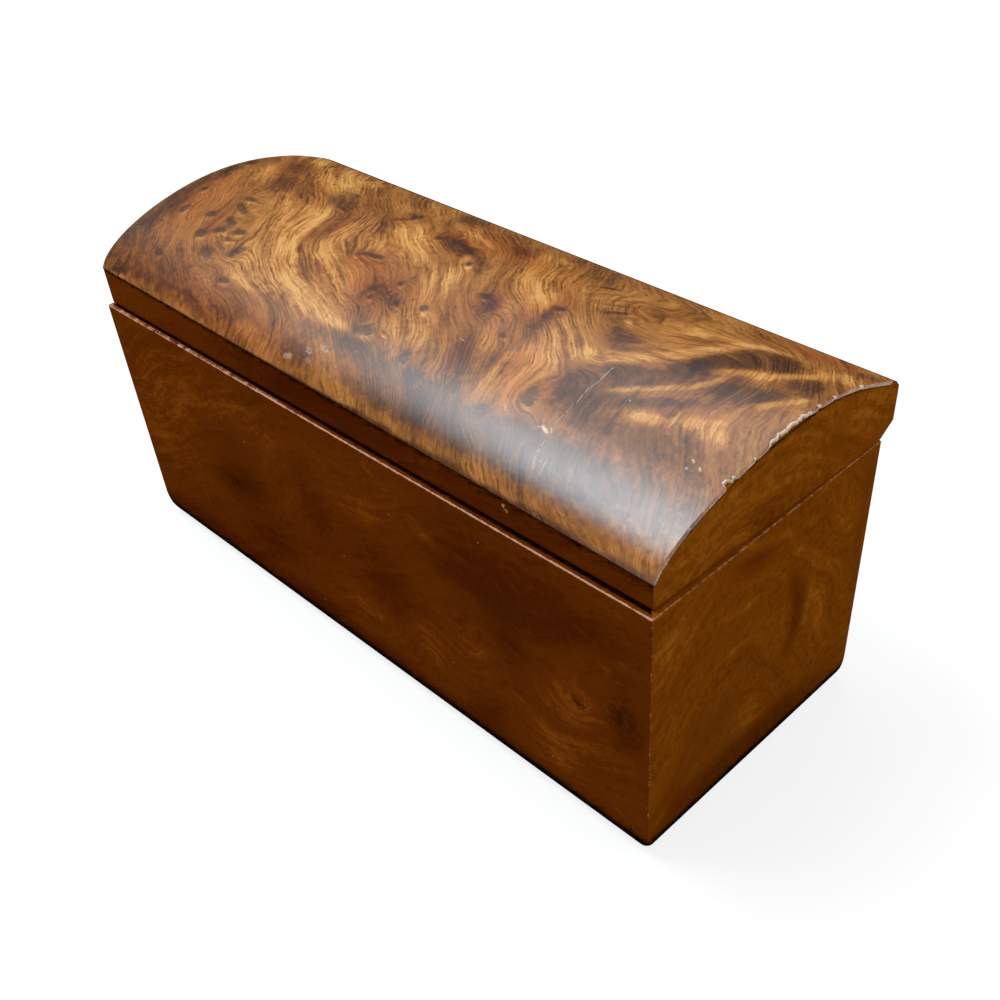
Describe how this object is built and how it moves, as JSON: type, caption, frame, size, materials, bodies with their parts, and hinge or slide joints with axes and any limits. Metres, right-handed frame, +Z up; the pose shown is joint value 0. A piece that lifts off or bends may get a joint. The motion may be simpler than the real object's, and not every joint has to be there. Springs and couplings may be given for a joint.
{
  "type": "keepsake box",
  "caption": "Small rectangular wooden keepsake box with a hinged domed lid, burl veneer on the dome and rounded lower edges.",
  "frame": {"origin": "centre of the base's underside, on the surface that the box stands on", "axes": "+X along the length, to the right as seen from the front; +Y from the front to the hinged back; +Z up"},
  "size_m": [0.2001, 0.0812, 0.0971],
  "materials": {
    "board_wood": "gloss",
    "end_wood": "gloss",
    "burl_veneer": "satin gloss",
    "inside_wood": "matt",
    "hinge_brass": "satin",
    "screw_brass": "satin"
  },
  "bodies": {
    "base": {"front_wall": "board_wood", "back_wall": "board_wood", "left_end_wall": "end_wood", "right_end_wall": "end_wood", "bottom_panel": "inside_wood", "hinge_1_base_leaf": "hinge_brass", "hinge_1_base_screw_1": "screw_brass", "hinge_1_base_screw_2": "screw_brass", "hinge_1_pin": "hinge_brass", "hinge_2_base_leaf": "hinge_brass", "hinge_2_base_screw_1": "screw_brass", "hinge_2_base_screw_2": "screw_brass", "hinge_2_pin": "hinge_brass"},
    "lid": {"lid_front_rail": "board_wood", "lid_back_rail": "board_wood", "lid_left_end": "end_wood", "lid_right_end": "end_wood", "dome_panel": "inside_wood", "dome_veneer": "burl_veneer", "hinge_1_lid_leaf": "hinge_brass", "hinge_1_lid_screw_1": "screw_brass", "hinge_1_lid_screw_2": "screw_brass", "hinge_2_lid_leaf": "hinge_brass", "hinge_2_lid_screw_1": "screw_brass", "hinge_2_lid_screw_2": "screw_brass"}
  },
  "joints": [
    {"name": "lid_hinge", "type": "hinge", "parent": "base", "child": "lid", "pos_m": [0, 0.03965, 0.0726], "axis": [-1, 0, 0], "range_deg": [0, 124]}
  ]
}
